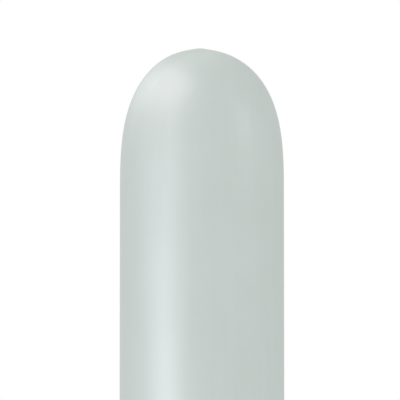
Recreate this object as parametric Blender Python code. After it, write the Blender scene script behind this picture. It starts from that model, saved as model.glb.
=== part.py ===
"""A long modelling balloon, blown up and tied off: one dipped latex tube, its knot and its tail.

Metres, +Z up along the tube. The origin is the centre of the knot. The rounded crown is at the
top, and the open filling end hangs below the knot. The front faces -Y.
"""

import math

import bmesh
import bpy

# Driving dimensions of the inflated tube.
DIAMETER = 0.0508
LENGTH = 1.524
WALL = 0.0003
BOW = 0.018
GAP = 0.0003

# The crown is a superellipse: its height, and its exponents along the height and the radius. Its
# tip stands up a little and leans towards -X.
CROWN_HEIGHT = 0.045
CROWN_FULLNESS = 3.03
CROWN_ROUNDNESS = 0.48
TIP_RISE = 0.0003
TIP_SPREAD = 0.0025
TIP_LEAN = 0.00065
TIP_LEAN_ONSET = 8

# The overhand knot: the strand of gathered latex that it is tied in, and half the strand's path
# in strand radii, from the middle up to the neck. Turned half round about Y, it is the other half.
STRAND_RADIUS = 0.00125
KNOT_PATH = [
    (0.00, 2.10, 0.00),
    (-2.40, 2.05, -0.45),
    (-3.40, 0.00, -1.30),
    (-2.05, -2.00, -1.90),
    (-0.10, -2.35, -1.60),
    (1.10, -1.20, -0.60),
    (1.05, 0.05, 0.90),
    (0.55, 0.30, 2.30),
    (0.00, 0.00, 3.50),
    (0.00, 0.00, 4.60),
]
STRAND_DRAWN_IN = 0.96

# The neck and the shoulder are one flare from the strand up to the tube, drawn into pleats. They
# are deepest where the two meet, and shallower at the knot, which presses them shut.
NECK_HEIGHT = 0.0072
FLARE_HEIGHT = 0.0535
FLARE_EASE = 0.9
PLEATS = 9
PLEAT_DEPTH = 0.00018
PLEAT_FADE = 0.012
PLEAT_GATHER = 0.35

# The tail opens from the strand into a flattened sleeve, and its edge is rolled into a bead.
TAIL_LENGTH = 0.013
TAIL_GATHER = 0.3
TAIL_HALF_THICKNESS = 0.0027
TAIL_MOUTH_HALF_WIDTH = 0.0056
TAIL_FULLNESS = 1.8
LIP_RADIUS = 0.00075
LIP_DROP = 0.0003

# Facets round each piece and along each of its stretches, and the least angle of a crisp edge.
SIDES = 36
SHOULDER_RINGS = 11
TUBE_RINGS = 11
CROWN_RINGS = 14
NECK_RINGS = 6
TAIL_RINGS = 9
END_FACETS = 12
BEAD_FACETS = 10
STRAND_STEPS = 4
STRAND_ROUNDING = 4
CRISP_ANGLE = math.radians(50)

RADIUS = DIAMETER / 2
KNOT_HALF_HEIGHT = STRAND_RADIUS * KNOT_PATH[-1][2]
NECK_BASE = KNOT_HALF_HEIGHT + GAP
NECK_TOP = NECK_BASE + NECK_HEIGHT
SHOULDER_BASE = NECK_TOP + GAP
TUBE_BASE = NECK_BASE + FLARE_HEIGHT
CROWN_BASE = LENGTH - CROWN_HEIGHT


def latex(name, colour, roughness):
    """Matt to satin rubber film."""
    material = bpy.data.materials.new(name)
    material.use_nodes = True
    shader = material.node_tree.nodes["Principled BSDF"]
    shader.inputs["Base Color"].default_value = (*colour, 1.0)
    shader.inputs["Roughness"].default_value = roughness
    shader.inputs["Metallic"].default_value = 0.0
    return material


def centre(z):
    """Where the tube's bowed centre line passes at this height, and how far the crown leans."""
    along = max(z - SHOULDER_BASE, 0.0) / (LENGTH - SHOULDER_BASE)
    up_crown = max(z - CROWN_BASE, 0.0) / CROWN_HEIGHT
    return -TIP_LEAN * up_crown**TIP_LEAN_ONSET, -4 * BOW * along * (1 - along)


def flare_radius(z):
    """An S-shaped flare from the strand through the neck and the shoulder to the full tube."""
    rise = min((z - NECK_BASE) / FLARE_HEIGHT, 1.0) ** FLARE_EASE
    return STRAND_RADIUS + (RADIUS - STRAND_RADIUS) * (1 - math.cos(math.pi * rise)) / 2


def crown_radius(z):
    """Full at the tube and nil at the tip."""
    rise = min((z - CROWN_BASE) / CROWN_HEIGHT, 1.0)
    return RADIUS * (1 - rise**CROWN_FULLNESS) ** CROWN_ROUNDNESS


def pleat_depth(z):
    """Half the height of the pleats, which fade out up the shoulder and towards the knot."""
    if z > NECK_TOP:
        return PLEAT_DEPTH * math.exp(-(z - NECK_TOP) / PLEAT_FADE)
    return PLEAT_DEPTH * (1 - (1 - PLEAT_GATHER) * (NECK_TOP - z) / NECK_HEIGHT)


def pleated_ring(z, radius, depth):
    """A ring round the bowed centre line, with the pleats that the knot pulls into the skin."""
    middle_x, middle_y = centre(z)
    ring = []
    for side in range(SIDES):
        angle = math.tau * side / SIDES
        reach = radius + depth * math.cos(PLEATS * angle)
        ring.append((middle_x + reach * math.cos(angle), middle_y + reach * math.sin(angle), z))
    return ring


def flat_ring(z, half_width, half_thickness):
    """An outline with two flat sides facing -Y and +Y and two half-round ends."""
    ring = []
    for side in (1, -1):
        end_x = side * (half_width - half_thickness)
        for facet in range(END_FACETS + 1):
            angle = math.pi * (facet / END_FACETS - 0.5)
            across = side * half_thickness * math.cos(angle)
            ring.append((end_x + across, side * half_thickness * math.sin(angle), z))
    return ring


def loft(name, rings, material, tip=None, capped=False, looped=False):
    """A smooth object through rings of points, each running anticlockwise seen from above."""
    form = bmesh.new()
    rows = [[form.verts.new(point) for point in ring] for ring in rings]
    pairs = list(zip(rows, rows[1:]))
    if looped:
        pairs.append((rows[-1], rows[0]))
    for low, high in pairs:
        for side in range(len(low)):
            after = (side + 1) % len(low)
            form.faces.new((low[side], low[after], high[after], high[side]))
    if tip:
        point = form.verts.new(tip)
        for side, vertex in enumerate(rows[-1]):
            form.faces.new((vertex, rows[-1][(side + 1) % len(rows[-1])], point))
    if capped:
        form.faces.new(rows[0][::-1])
        form.faces.new(rows[-1])
    mesh = bpy.data.meshes.new(name)
    form.to_mesh(mesh)
    form.free()
    mesh.materials.append(material)
    mesh.shade_smooth()
    mesh.set_sharp_from_angle(angle=CRISP_ANGLE)
    piece = bpy.data.objects.new(name, mesh)
    bpy.context.collection.objects.link(piece)
    return piece


def thicken(piece):
    """Give an open skin its thickness, inwards from its outer face."""
    skin = piece.modifiers.new("wall", "SOLIDIFY")
    skin.thickness = WALL
    skin.offset = -1
    skin.use_even_offset = True


def make_envelope():
    """The inflated skin, open only where it runs into the neck."""
    rings = []
    for step in range(SHOULDER_RINGS):
        z = SHOULDER_BASE + (TUBE_BASE - SHOULDER_BASE) * step / SHOULDER_RINGS
        rings.append(pleated_ring(z, flare_radius(z), pleat_depth(z)))
    for step in range(TUBE_RINGS):
        z = TUBE_BASE + (CROWN_BASE - TUBE_BASE) * step / TUBE_RINGS
        rings.append(pleated_ring(z, RADIUS, 0.0))
    for step in range(CROWN_RINGS):
        z = CROWN_BASE + CROWN_HEIGHT * math.sin(math.pi / 2 * step / CROWN_RINGS)
        radius = crown_radius(z)
        ring = pleated_ring(z, radius, 0.0)
        rise = TIP_RISE * math.exp(-((radius / TIP_SPREAD) ** 2))
        rings.append([(x, y, height + rise) for x, y, height in ring])
    tip_x, tip_y = centre(LENGTH)
    film = latex("latex_film", (0.55, 0.61, 0.58), 0.36)
    thicken(loft("envelope", rings, film, tip=(tip_x, tip_y, LENGTH + TIP_RISE)))


def make_neck():
    """Gathered film, pressed shut by the knot below it."""
    rings = []
    for step in range(NECK_RINGS + 1):
        z = NECK_BASE + NECK_HEIGHT * step / NECK_RINGS
        rings.append(pleated_ring(z, flare_radius(z), pleat_depth(z)))
    loft("neck", rings, latex("latex_neck", (0.47, 0.53, 0.50), 0.42), capped=True)


def make_knot():
    """The gathered strand, tied in an overhand knot and drawn tight."""
    upper = [tuple(STRAND_RADIUS * place for place in point) for point in KNOT_PATH]
    lower = [(-x, y, -z) for x, y, z in upper[:0:-1]]
    path = lower + upper
    strand = bpy.data.curves.new("knot", "CURVE")
    strand.dimensions = "3D"
    strand.bevel_depth = STRAND_RADIUS * STRAND_DRAWN_IN
    strand.bevel_resolution = STRAND_ROUNDING
    strand.use_fill_caps = True
    run = strand.splines.new("NURBS")
    run.points.add(len(path) - 1)
    for point, place in zip(run.points, path):
        point.co = (*place, 1.0)
    run.order_u = 4
    run.use_endpoint_u = True
    run.resolution_u = STRAND_STEPS
    run.use_smooth = True
    strand.materials.append(latex("latex_knot", (0.42, 0.48, 0.45), 0.46))
    bpy.context.collection.objects.link(bpy.data.objects.new("knot", strand))


def make_tail():
    """The unstretched filling end, flattened and open at its mouth."""
    rings = []
    for step in range(TAIL_RINGS + 1):
        along = 1 - step / TAIL_RINGS
        gather = (1 - math.cos(math.pi * min(along / TAIL_GATHER, 1.0))) / 2
        thickness = STRAND_RADIUS + (TAIL_HALF_THICKNESS - STRAND_RADIUS) * gather
        spread = 1 - (1 - along) ** TAIL_FULLNESS
        width = STRAND_RADIUS + (TAIL_MOUTH_HALF_WIDTH - STRAND_RADIUS) * spread
        rings.append(flat_ring(-NECK_BASE - TAIL_LENGTH * along, width, thickness))
    thicken(loft("tail", rings, latex("latex_tail", (0.45, 0.51, 0.48), 0.44)))


def make_lip():
    """The film's edge, rolled up on the outside of the mouth."""
    middle_z = -NECK_BASE - TAIL_LENGTH + LIP_RADIUS - LIP_DROP
    rows = []
    for facet in range(BEAD_FACETS):
        angle = math.tau * facet / BEAD_FACETS
        out = GAP + LIP_RADIUS + LIP_RADIUS * math.cos(angle)
        z = middle_z + LIP_RADIUS * math.sin(angle)
        rows.append(flat_ring(z, TAIL_MOUTH_HALF_WIDTH + out, TAIL_HALF_THICKNESS + out))
    loft("lip", rows, latex("latex_lip", (0.40, 0.46, 0.43), 0.40), looped=True)


for leftover in list(bpy.data.objects):
    bpy.data.objects.remove(leftover, do_unlink=True)

make_envelope()
make_neck()
make_knot()
make_tail()
make_lip()
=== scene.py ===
"""An inflated modelling balloon, tied off, its rounded crown seen close up against white.

Metres, +Z up along the tube, front -Y. The origin is the centre of the knot.
"""

import math

import bpy
import numpy as np
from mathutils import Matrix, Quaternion, Vector


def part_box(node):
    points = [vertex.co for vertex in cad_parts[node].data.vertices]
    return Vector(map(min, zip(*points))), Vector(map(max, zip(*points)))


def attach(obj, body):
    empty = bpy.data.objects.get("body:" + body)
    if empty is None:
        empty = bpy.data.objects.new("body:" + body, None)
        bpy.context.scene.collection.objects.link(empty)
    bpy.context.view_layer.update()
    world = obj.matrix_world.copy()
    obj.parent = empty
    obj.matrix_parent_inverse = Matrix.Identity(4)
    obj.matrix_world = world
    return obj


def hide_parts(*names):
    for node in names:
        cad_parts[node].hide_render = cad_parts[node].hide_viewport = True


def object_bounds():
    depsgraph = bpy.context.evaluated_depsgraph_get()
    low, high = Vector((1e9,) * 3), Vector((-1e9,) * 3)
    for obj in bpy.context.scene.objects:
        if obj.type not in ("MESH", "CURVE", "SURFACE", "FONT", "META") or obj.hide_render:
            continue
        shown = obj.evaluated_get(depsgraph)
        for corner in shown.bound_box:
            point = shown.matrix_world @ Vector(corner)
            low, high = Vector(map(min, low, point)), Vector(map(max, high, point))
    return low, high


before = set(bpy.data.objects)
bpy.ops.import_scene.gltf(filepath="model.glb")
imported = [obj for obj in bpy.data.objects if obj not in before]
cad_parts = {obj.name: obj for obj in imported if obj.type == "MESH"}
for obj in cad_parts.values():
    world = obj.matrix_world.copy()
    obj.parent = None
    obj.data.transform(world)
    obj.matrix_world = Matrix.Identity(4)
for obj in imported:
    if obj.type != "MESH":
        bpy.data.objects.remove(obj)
cad_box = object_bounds()

# The film: the balloon's skin, dipped in one piece from pearl latex and blown up to a long tube.
# It is stretched thinnest and palest on the tube and crown, and draws together into pleats where
# the shoulder runs down to the knot. The air in it holds it taut, with only a slight bow left.

skin_low, skin_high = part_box("envelope")
neck_low, neck_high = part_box("neck")
TUBE_RADIUS = 0.0254
STRAND_RADIUS = 0.00125
FLARE_BASE = neck_low[2]
FLARE_HEIGHT = 0.0535
FLARE_EASE = 0.9
TUBE_BASE = FLARE_BASE + FLARE_HEIGHT
TIP_RISE = 0.0003
TIP_SPREAD = 0.0025
TIP_LEAN = 0.00065
TIP_LEAN_ONSET = 8
CROWN_TOP = skin_high[2] - TIP_RISE
CROWN_HEIGHT = 0.045
CROWN_BASE = CROWN_TOP - CROWN_HEIGHT
CROWN_FULLNESS = 3.03
CROWN_ROUNDNESS = 0.48
BOW = 0.018
PLEATS = 9
PLEAT_DEPTH = 0.00018
PLEAT_FADE = 0.012
PLEAT_HOLD = 0.65
PLEAT_TWIST = 0.5
PLEAT_SOFTNESS = 0.2
FINE_FOLD_FADE = 1.7
FILM_WALL = 0.0003
ROUND_SIDES = 144
SHOULDER_RINGS = 48
TUBE_RINGS = 110
CROWN_RINGS = 72
CREASE_ANGLE = math.radians(60)
ROUND_TURNS = np.arange(ROUND_SIDES) * math.tau / ROUND_SIDES

# Each set of finer folds: how many go round, their share of the pleats' depth, and their start.
FINE_FOLDS = ((17, 0.40, 0.7), (26, 0.25, 2.1))

STRETCHED_TONE = (0.546, 0.598, 0.576)
SHOULDER_TONE = (0.470, 0.528, 0.504)
SHEEN_TINT = (0.80, 0.81, 0.80)
SHEEN_LEVEL = 0.3
FLOW_LINE_SCALE = 380.0
FLOW_LINE_STRETCH = 0.05
FLOW_LINE_SHADE = 0.008
FLOW_LINE_DEPTH = 0.0001
CLOUD_SCALE = 45.0
CLOUD_SHADE = 0.015
GRAIN_SCALE = 2600.0
GRAIN_ROUGHNESS = 0.03
GRAIN_DEPTH = 0.00003
GRAIN_RELIEF = 0.08
NOISE_RANGE = (0.3, 0.7)


def centre_line(z):
    """X and Y of the tube's middle at these heights: the bow, and the lean of the crown's tip."""
    along = np.maximum(z - skin_low[2], 0) / (CROWN_TOP - skin_low[2])
    up_crown = np.maximum(z - CROWN_BASE, 0) / CROWN_HEIGHT
    return -TIP_LEAN * up_crown**TIP_LEAN_ONSET, -4 * BOW * along * (1 - along)


def flare(z):
    """The radius at these heights, from the strand that the knot is tied in up to the tube."""
    rise = np.clip((z - FLARE_BASE) / FLARE_HEIGHT, 0, 1) ** FLARE_EASE
    return STRAND_RADIUS + (TUBE_RADIUS - STRAND_RADIUS) * (1 - np.cos(np.pi * rise)) / 2


def pleats(angle, z):
    """How far the gathered film stands out: round folds with narrow creases, and finer ones."""
    below = np.clip((neck_high[2] - z) / (neck_high[2] - neck_low[2]), 0, 1)
    turned = angle + PLEAT_TWIST * below**2
    folds = 2 * np.hypot(np.cos(PLEATS * turned / 2), PLEAT_SOFTNESS) - 1
    fine = sum(share * np.cos(count * turned + start) for count, share, start in FINE_FOLDS)
    fade = np.exp(-np.maximum(z - neck_high[2], 0) / PLEAT_FADE) * (1 - (1 - PLEAT_HOLD) * below)
    return PLEAT_DEPTH * (folds * fade + fine * fade**FINE_FOLD_FADE)


def round_rings(height, reach, lift=0.0):
    """Pleated rings of points round the centre line."""
    middle_x, middle_y = centre_line(height)
    out = reach[:, None] + pleats(ROUND_TURNS, height[:, None])
    x = middle_x[:, None] + out * np.cos(ROUND_TURNS)
    y = middle_y[:, None] + out * np.sin(ROUND_TURNS)
    z = np.broadcast_to((height + lift)[:, None], x.shape)
    return np.stack([x, y, z], axis=2)


def skin_mesh(name, rings, tip=None, looped=False, capped=False):
    """A smooth piece through rings of points, closed by a tip, by caps or back on itself."""
    rings = np.asarray(rings)
    count, sides = rings.shape[:2]
    points = rings.reshape(-1, 3).tolist()
    faces = []
    for row in range(count if looped else count - 1):
        low, high = row * sides, (row + 1) % count * sides
        for side in range(sides):
            after = (side + 1) % sides
            faces.append((low + side, low + after, high + after, high + side))
    top = (count - 1) * sides
    if tip is not None:
        faces += [(top + side, top + (side + 1) % sides, len(points)) for side in range(sides)]
        points.append(tuple(tip))
    if capped:
        faces += [tuple(range(sides))[::-1], tuple(range(top, top + sides))]
    mesh = bpy.data.meshes.new(name)
    mesh.from_pydata(points, [], faces)
    piece = bpy.data.objects.new(name, mesh)
    bpy.context.collection.objects.link(piece)
    smooth_over(piece)
    return piece


def smooth_over(piece):
    """Shade a piece smooth, and keep its rims and the edges of its ends crisp."""
    piece.data.shade_smooth()
    piece.data.set_sharp_from_angle(angle=CREASE_ANGLE)


def finished_mesh(shape):
    """The mesh of an object as its modifiers shape it, or the run of points of a curve."""
    bpy.context.view_layer.update()
    return bpy.data.meshes.new_from_object(shape.evaluated_get(bpy.context.evaluated_depsgraph_get()))


def give_wall(piece, wall):
    """Turn a skin of no thickness into one of this thickness, inwards."""
    skin = piece.modifiers.new("wall", "SOLIDIFY")
    skin.thickness = wall
    skin.offset = -1
    skin.use_even_offset = True
    walled = finished_mesh(piece)
    piece.modifiers.clear()
    piece.data = walled
    smooth_over(piece)


def pearl_latex(name, low_tone, high_tone, low, high, roughness, pearl, line_relief):
    """Satin latex with fine pearl in it, deeper in tone where it is low down and less stretched.

    It has flow lines along it from dipping, faint clouds, and a fine powdery grain.
    """
    material = bpy.data.materials.new(name)
    material.use_nodes = True
    nodes, links = material.node_tree.nodes, material.node_tree.links
    shader = nodes["Principled BSDF"]
    place = nodes.new("ShaderNodeTexCoord")

    def noise(scale, detail, source=place.outputs["Object"]):
        pattern = nodes.new("ShaderNodeTexNoise")
        pattern.inputs["Scale"].default_value = scale
        pattern.inputs["Detail"].default_value = detail
        links.new(source, pattern.inputs["Vector"])
        return pattern.outputs["Fac"]

    def spread(source, from_low, from_high, to_low, to_high):
        change = nodes.new("ShaderNodeMapRange")
        for socket, value in zip(change.inputs[1:5], (from_low, from_high, to_low, to_high)):
            socket.default_value = value
        links.new(source, change.inputs["Value"])
        return change.outputs["Result"]

    def relief(source, strength, depth, under=None):
        bump = nodes.new("ShaderNodeBump")
        bump.inputs["Strength"].default_value = strength
        bump.inputs["Distance"].default_value = depth
        links.new(source, bump.inputs["Height"])
        if under:
            links.new(under, bump.inputs["Normal"])
        return bump.outputs["Normal"]

    drawn_out = nodes.new("ShaderNodeMapping")
    drawn_out.inputs["Scale"].default_value = (1.0, 1.0, FLOW_LINE_STRETCH)
    links.new(place.outputs["Object"], drawn_out.inputs["Vector"])
    flow_lines = noise(FLOW_LINE_SCALE, detail=2.0, source=drawn_out.outputs["Vector"])
    clouds = noise(CLOUD_SCALE, detail=3.0)
    grain = noise(GRAIN_SCALE, detail=2.0)

    height = nodes.new("ShaderNodeSeparateXYZ")
    links.new(place.outputs["Object"], height.inputs["Vector"])
    stretch = nodes.new("ShaderNodeMix")
    stretch.data_type = "RGBA"
    stretch.inputs["A"].default_value = (*low_tone, 1.0)
    stretch.inputs["B"].default_value = (*high_tone, 1.0)
    links.new(spread(height.outputs["Z"], low, high, 0.0, 1.0), stretch.inputs["Factor"])

    shade = nodes.new("ShaderNodeMath")
    shade.operation = "MULTIPLY"
    lined = spread(flow_lines, *NOISE_RANGE, 1 - FLOW_LINE_SHADE, 1 + FLOW_LINE_SHADE)
    links.new(lined, shade.inputs[0])
    clouded = spread(clouds, *NOISE_RANGE, 1 - CLOUD_SHADE, 1 + CLOUD_SHADE)
    links.new(clouded, shade.inputs[1])
    toned = nodes.new("ShaderNodeVectorMath")
    toned.operation = "SCALE"
    links.new(stretch.outputs["Result"], toned.inputs[0])
    links.new(shade.outputs["Value"], toned.inputs["Scale"])
    links.new(toned.outputs["Vector"], shader.inputs["Base Color"])

    satin = spread(grain, *NOISE_RANGE, roughness - GRAIN_ROUGHNESS, roughness + GRAIN_ROUGHNESS)
    links.new(satin, shader.inputs["Roughness"])
    lines = relief(flow_lines, line_relief, FLOW_LINE_DEPTH)
    links.new(relief(grain, GRAIN_RELIEF, GRAIN_DEPTH, under=lines), shader.inputs["Normal"])

    shader.inputs["Metallic"].default_value = pearl
    shader.inputs["Specular IOR Level"].default_value = SHEEN_LEVEL
    shader.inputs["Specular Tint"].default_value = (*SHEEN_TINT, 1.0)
    return material


def make_film():
    """Rings from the neck's edge up the shoulder, the tube and the crown, then the tip."""
    shoulder = np.linspace(neck_high[2], TUBE_BASE, SHOULDER_RINGS, endpoint=False)
    tube = np.linspace(TUBE_BASE, CROWN_BASE, TUBE_RINGS, endpoint=False)
    up_crown = np.sin(np.pi / 2 * np.arange(CROWN_RINGS) / CROWN_RINGS)
    crown_reach = TUBE_RADIUS * (1 - up_crown**CROWN_FULLNESS) ** CROWN_ROUNDNESS
    lift = TIP_RISE * np.exp(-((crown_reach / TIP_SPREAD) ** 2))
    below_crown = np.concatenate([shoulder, tube])
    low_part = round_rings(below_crown, flare(below_crown))
    crown = round_rings(CROWN_BASE + CROWN_HEIGHT * up_crown, crown_reach, lift)
    return skin_mesh("film", np.concatenate([low_part, crown]), tip=(-TIP_LEAN, 0, skin_high[2]))


film = make_film()
give_wall(film, FILM_WALL)
film.data.materials.append(
    pearl_latex(
        "pearl_film", SHOULDER_TONE, STRETCHED_TONE, neck_high[2], TUBE_BASE,
        roughness=0.42, pearl=0.75, line_relief=0.0,
    )
)
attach(film, "root")
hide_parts("envelope")

# The neck: the same film, drawn together in folds by the knot and pressed shut by it. It meets
# the shoulder above and the knot's strand below edge to edge, because they are one skin.

NECK_RINGS = 34
GATHERED_TONE = (0.415, 0.472, 0.446)

neck_height = np.linspace(neck_low[2], neck_high[2], NECK_RINGS)
neck = skin_mesh("neck_folds", round_rings(neck_height, flare(neck_height)), capped=True)
neck.data.materials.append(
    pearl_latex(
        "pearl_neck", GATHERED_TONE, SHOULDER_TONE, neck_low[2], neck_high[2],
        roughness=0.44, pearl=0.6, line_relief=0.5,
    )
)
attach(neck, "root")
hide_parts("neck")

# The knot: the gathered neck, drawn out to a strand, tied in an overhand knot and pulled tight,
# so that its turns swell a little and press one another's folds flatter, which wind round it.

KNOT_PATH = [
    (0.00, 2.10, 0.00),
    (-2.40, 2.05, -0.45),
    (-3.40, 0.00, -1.30),
    (-2.05, -2.00, -1.90),
    (-0.10, -2.35, -1.60),
    (1.10, -1.20, -0.60),
    (1.05, 0.05, 0.90),
    (0.55, 0.30, 2.30),
    (0.00, 0.00, 3.50),
    (0.00, 0.00, 4.60),
]
TAIL_TOP = -FLARE_BASE
STRAND_TURNS = 1
STRAND_SWELL = 0.07
STRAND_PRESS = 0.45
STRAND_STEPS = 18
KNOT_TONE = (0.385, 0.442, 0.417)


def strand_route():
    """Close points from the tail's top to the neck's foot; the lower half is the upper turned over."""
    upper = [Vector(point) * STRAND_RADIUS for point in KNOT_PATH]
    lower = [Vector((-point.x, point.y, -point.z)) for point in upper[:0:-1]]
    route = bpy.data.curves.new("strand_route", "CURVE")
    route.dimensions = "3D"
    run = route.splines.new("NURBS")
    run.points.add(len(lower) + len(upper) - 1)
    for point, spot in zip(run.points, lower + upper):
        point.co = (*spot, 1.0)
    run.order_u = 4
    run.use_endpoint_u = True
    run.resolution_u = STRAND_STEPS
    guide = bpy.data.objects.new("strand_route", route)
    bpy.context.collection.objects.link(guide)
    spots = [vertex.co.copy() for vertex in finished_mesh(guide).vertices]
    bpy.data.objects.remove(guide, do_unlink=True)
    return [Vector((0, 0, TAIL_TOP)), *spots, Vector((0, 0, FLARE_BASE))]


def make_knot():
    """The neck's folded foot, carried down the route and turned evenly, to end as it began."""
    spots = strand_route()
    up = Vector((0, 0, 1))
    ways = [up, *[(after - before).normalized() for before, after in zip(spots, spots[2:])], up]
    sides = [Vector((1, 0, 0))]
    for before, after in zip(ways, ways[1:]):
        sides.append(before.rotation_difference(after) @ sides[-1])
    slip = math.atan2(sides[-1].y, sides[-1].x)
    folds = pleats(ROUND_TURNS, FLARE_BASE)
    rings = []
    for step, (spot, way, side) in enumerate(zip(spots, ways, sides)):
        part = step / (len(spots) - 1)
        turned = ROUND_TURNS + (STRAND_TURNS * math.tau - slip) * part
        pull = math.sin(math.pi * part)
        out = STRAND_RADIUS * (1 + STRAND_SWELL * pull) + folds * (1 - STRAND_PRESS * pull)
        across = np.outer(out * np.cos(turned), side) + np.outer(out * np.sin(turned), way.cross(side))
        rings.append(np.array(spot) + across)
    return skin_mesh("knot_tied", rings, capped=True)


knot = make_knot()
knot.data.materials.append(
    pearl_latex(
        "pearl_knot", KNOT_TONE, GATHERED_TONE, TAIL_TOP, FLARE_BASE,
        roughness=0.46, pearl=0.55, line_relief=0.25,
    )
)
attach(knot, "root")
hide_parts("knot")

# The tail: the balloon's filling end, which was never stretched, so it is thicker and deeper in
# tone. The knot gathers its top, and it lies flat below, open at its mouth.

TAIL_LENGTH = 0.013
TAIL_GATHER = 0.3
TAIL_HALF_THICKNESS = 0.0027
TAIL_MOUTH_HALF_WIDTH = 0.0056
TAIL_FULLNESS = 1.8
TAIL_WALL = 0.0003
TAIL_FOLD_EASE = 1.3
TAIL_DENT = 0.00016
TAIL_DENT_TWIST = 2.4
TAIL_DENT_START = 0.5
TAIL_RINGS = 46
SIDE_FULLNESS = math.radians(10)
END_SIDES = 38
FLAT_SIDES = 16
TAIL_TONE = (0.420, 0.478, 0.452)
TAIL_TONE_FADE = 0.006


def flat_outline(half_width, half_thickness):
    """Points round a form with two all but flat sides and two round ends, and the way out at each."""
    end = np.linspace(SIDE_FULLNESS - math.pi / 2, math.pi / 2 - SIDE_FULLNESS, END_SIDES)
    across = np.linspace(1, -1, FLAT_SIDES + 1)[1:-1]
    half_turn = np.concatenate([end, math.pi / 2 - SIDE_FULLNESS * across])
    half_shift = np.concatenate([np.ones(END_SIDES), across])
    turn = np.concatenate([half_turn, half_turn + math.pi])
    shift = np.concatenate([half_shift, -half_shift])
    outward = np.stack([np.cos(turn), np.sin(turn)], axis=1)
    points = outward * half_thickness
    points[:, 0] += shift * (half_width - half_thickness)
    return points, outward


def tail_ring(along):
    """The sleeve's outline, from the strand's at nought to the mouth's at one, folded and dented."""
    gather = (1 - math.cos(math.pi * min(along / TAIL_GATHER, 1))) / 2
    thickness = STRAND_RADIUS + (TAIL_HALF_THICKNESS - STRAND_RADIUS) * gather
    spread = 1 - (1 - along) ** TAIL_FULLNESS
    width = STRAND_RADIUS + (TAIL_MOUTH_HALF_WIDTH - STRAND_RADIUS) * spread
    points, outward = flat_outline(width, thickness)
    from_end = points[:, 0] - outward[:, 0] * thickness
    turn = np.arctan2(outward[:, 1], outward[:, 0]) - outward[:, 1] * from_end / TAIL_HALF_THICKNESS
    dent = np.cos(2 * turn + TAIL_DENT_TWIST * along + TAIL_DENT_START) - 1
    depth = pleats(turn, FLARE_BASE) * (1 - along) ** TAIL_FOLD_EASE
    depth = depth + TAIL_DENT * dent * 4 * along * (1 - along) * gather
    points = points + outward * depth[:, None]
    return np.column_stack([points, np.full(len(points), TAIL_TOP - TAIL_LENGTH * along)])


tail = skin_mesh("tail_sleeve", [tail_ring(along) for along in np.linspace(1, 0, TAIL_RINGS)])
give_wall(tail, TAIL_WALL)
tail.data.materials.append(
    pearl_latex(
        "pearl_tail", TAIL_TONE, KNOT_TONE, TAIL_TOP - TAIL_TONE_FADE, TAIL_TOP,
        roughness=0.45, pearl=0.5, line_relief=0.3,
    )
)
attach(tail, "root")
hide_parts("tail")

# The lip: the sleeve's edge, rolled outwards on itself before the latex was cured. It makes a
# soft round bead that holds the mouth open, and its last turn shows as a fine step round it.

LIP_HALF_HEIGHT = 0.00075
LIP_HALF_WIDTH = 0.00095
LIP_DROP = 0.0003
LIP_ROLL_STEP = 0.09
LIP_TUCK_ANGLE = 0.12 * math.tau
LIP_SECTION_SIDES = 36
LIP_TONE = (0.375, 0.430, 0.405)


def make_lip():
    """The bead's section, from the sleeve's inner face outwards, carried round the mouth."""
    middle = TAIL_TOP - TAIL_LENGTH + LIP_HALF_HEIGHT - LIP_DROP
    points, outward = flat_outline(TAIL_MOUTH_HALF_WIDTH, TAIL_HALF_THICKNESS)
    rows = []
    for side in range(LIP_SECTION_SIDES):
        angle = math.tau * side / LIP_SECTION_SIDES
        rolled = 1 - LIP_ROLL_STEP * ((angle - LIP_TUCK_ANGLE) % math.tau / math.tau)
        out = LIP_HALF_WIDTH * (1 + rolled * math.cos(angle)) - TAIL_WALL
        height = np.full(len(points), middle + LIP_HALF_HEIGHT * rolled * math.sin(angle))
        rows.append(np.column_stack([points + outward * out, height]))
    return skin_mesh("lip_bead", rows, looped=True)


lip = make_lip()
lip.data.materials.append(
    pearl_latex(
        "pearl_lip", LIP_TONE, TAIL_TONE, TAIL_TOP - TAIL_LENGTH, TAIL_TOP,
        roughness=0.42, pearl=0.5, line_relief=0.2,
    )
)
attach(lip, "root")
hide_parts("lip")

# The studio: a pale floor under the balloon and white all round it. At the left stand a tall soft
# strip with a small box over it, a wide wall, and a box above that. Two weaker boxes hang behind
# the balloon, and one stands at the right.

FLOOR_DROP = 0.35
FLOOR_RADIUS = 4.0
FLOOR_FADE = 2.4
FLOOR_SIDES = 96
PAPER_TONE = (0.82, 0.82, 0.81)
PAPER_ROUGHNESS = 0.9
STRIP_MIDDLE = 0.847
LILAC = (0.93, 0.89, 1.0)
DEEP_LILAC = (0.84, 0.82, 1.0)
ROSE = (1.0, 0.86, 0.92)
COOL_WHITE = (0.96, 0.95, 1.0)
CREAM = (1.0, 0.95, 0.88)
SOFT_WHITE = (1.0, 0.97, 0.97)


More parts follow.
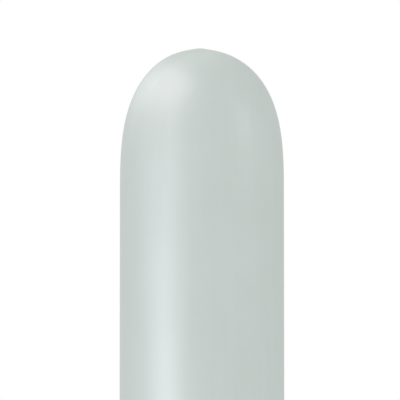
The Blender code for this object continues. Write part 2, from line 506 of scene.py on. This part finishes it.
def make_floor():
    """A round sheet of pale paper that fades into the white at its rim."""
    mesh = bpy.data.meshes.new("floor")
    turns = [math.tau * step / FLOOR_SIDES for step in range(FLOOR_SIDES)]
    rim = [(FLOOR_RADIUS * math.cos(turn), FLOOR_RADIUS * math.sin(turn), 0) for turn in turns]
    mesh.from_pydata(rim, [], [list(range(FLOOR_SIDES))])
    paper = bpy.data.materials.new("floor_paper")
    paper.use_nodes = True
    nodes, links = paper.node_tree.nodes, paper.node_tree.links
    shader = nodes["Principled BSDF"]
    shader.inputs["Base Color"].default_value = (*PAPER_TONE, 1.0)
    shader.inputs["Roughness"].default_value = PAPER_ROUGHNESS
    place = nodes.new("ShaderNodeTexCoord")
    away = nodes.new("ShaderNodeVectorMath")
    away.operation = "LENGTH"
    links.new(place.outputs["Object"], away.inputs[0])
    fade = nodes.new("ShaderNodeMapRange")
    fade.interpolation_type = "SMOOTHSTEP"
    fade.inputs["From Min"].default_value = FLOOR_FADE
    fade.inputs["From Max"].default_value = FLOOR_RADIUS
    links.new(away.outputs["Value"], fade.inputs["Value"])
    mixed = nodes.new("ShaderNodeMixShader")
    links.new(fade.outputs["Result"], mixed.inputs["Fac"])
    links.new(shader.outputs["BSDF"], mixed.inputs[1])
    links.new(nodes.new("ShaderNodeBsdfTransparent").outputs["BSDF"], mixed.inputs[2])
    links.new(mixed.outputs["Shader"], nodes["Material Output"].inputs["Surface"])
    mesh.materials.append(paper)
    floor = bpy.data.objects.new("floor", mesh)
    floor.location.z = cad_box[0][2] - FLOOR_DROP
    bpy.context.collection.objects.link(floor)
    return floor


def softbox(name, left_turn, lift, reach, height, size, glow, tint, tilt=0):
    """A soft light aimed at the tube at this height, this far round to the left of the camera.

    Its glow is how bright it looks, whatever its size. The tilt raises the side nearer the camera.
    """
    turn, rise = math.radians(left_turn), math.radians(lift)
    away = Vector((-math.sin(turn) * math.cos(rise), -math.cos(turn) * math.cos(rise), math.sin(rise)))
    lamp = bpy.data.lights.new(name, "AREA")
    lamp.shape = "RECTANGLE"
    lamp.size, lamp.size_y = size
    lamp.energy = glow * math.pi * lamp.size * lamp.size_y
    lamp.color = tint
    stand = bpy.data.objects.new(name, lamp)
    stand.location = away * reach + Vector((0, 0, height))
    tilted = Quaternion((0, 0, 1), math.radians(tilt))
    stand.rotation_euler = (away.to_track_quat("Z", "Y") @ tilted).to_euler()
    stand.visible_camera = False
    bpy.context.collection.objects.link(stand)


make_floor()

world = bpy.data.worlds.new("white")
world.use_nodes = True
world.node_tree.nodes["Background"].inputs["Color"].default_value = (1.0, 1.0, 1.0, 1.0)
world.node_tree.nodes["Background"].inputs["Strength"].default_value = 1.0
bpy.context.scene.world = world
bpy.context.scene.view_settings.view_transform = "Standard"

# Each box: how far round to the left, how far up, how far off, the height of the tube that it
# faces, its width and height, its glow and its tint.
softbox("strip", 47, 0, 0.45, STRIP_MIDDLE, (0.30, 1.20), 0.82, LILAC)
softbox("left_wall", 66, 3, 1.4, CROWN_TOP, (1.30, 0.90), 0.215, DEEP_LILAC, tilt=12)
softbox("upper_left", 86, 50, 1.0, CROWN_TOP, (1.35, 0.75), 0.64, ROSE, tilt=12)
softbox("back_left", 140, 25, 1.2, CROWN_TOP, (0.80, 0.55), 0.45, SOFT_WHITE)
softbox("strip_top", 43, 17, 1.0, CROWN_TOP, (0.16, 0.36), 0.52, COOL_WHITE)
softbox("back", 178, 57, 1.2, CROWN_TOP, (0.60, 0.95), 0.16, CREAM)
softbox("right_fill", -66, 22, 1.4, CROWN_TOP, (0.26, 0.45), 0.66, SOFT_WHITE)

# The camera: a long lens straight in front of the balloon, level with the tube a little below its
# crown. It frames the crown and the top of the tube.

FRAME_WIDTH = 0.1239
LENS = 200.0
SENSOR = 36.0
NEAREST_SEEN = 0.01
TIP_ABOVE_CAMERA = 0.0471
AXIS_SHIFT = 0.0006

lens = bpy.data.cameras.new("camera")
lens.lens = LENS
lens.sensor_width = SENSOR
lens.clip_start = NEAREST_SEEN
camera = bpy.data.objects.new("camera", lens)
camera_height = skin_high[2] - TIP_ABOVE_CAMERA
tube_y = float(centre_line(np.array([camera_height]))[1][0])
camera.location = (-AXIS_SHIFT, tube_y - FRAME_WIDTH * LENS / SENSOR, camera_height)
camera.rotation_euler = (math.pi / 2, 0.0, 0.0)
bpy.context.collection.objects.link(camera)
bpy.context.scene.camera = camera
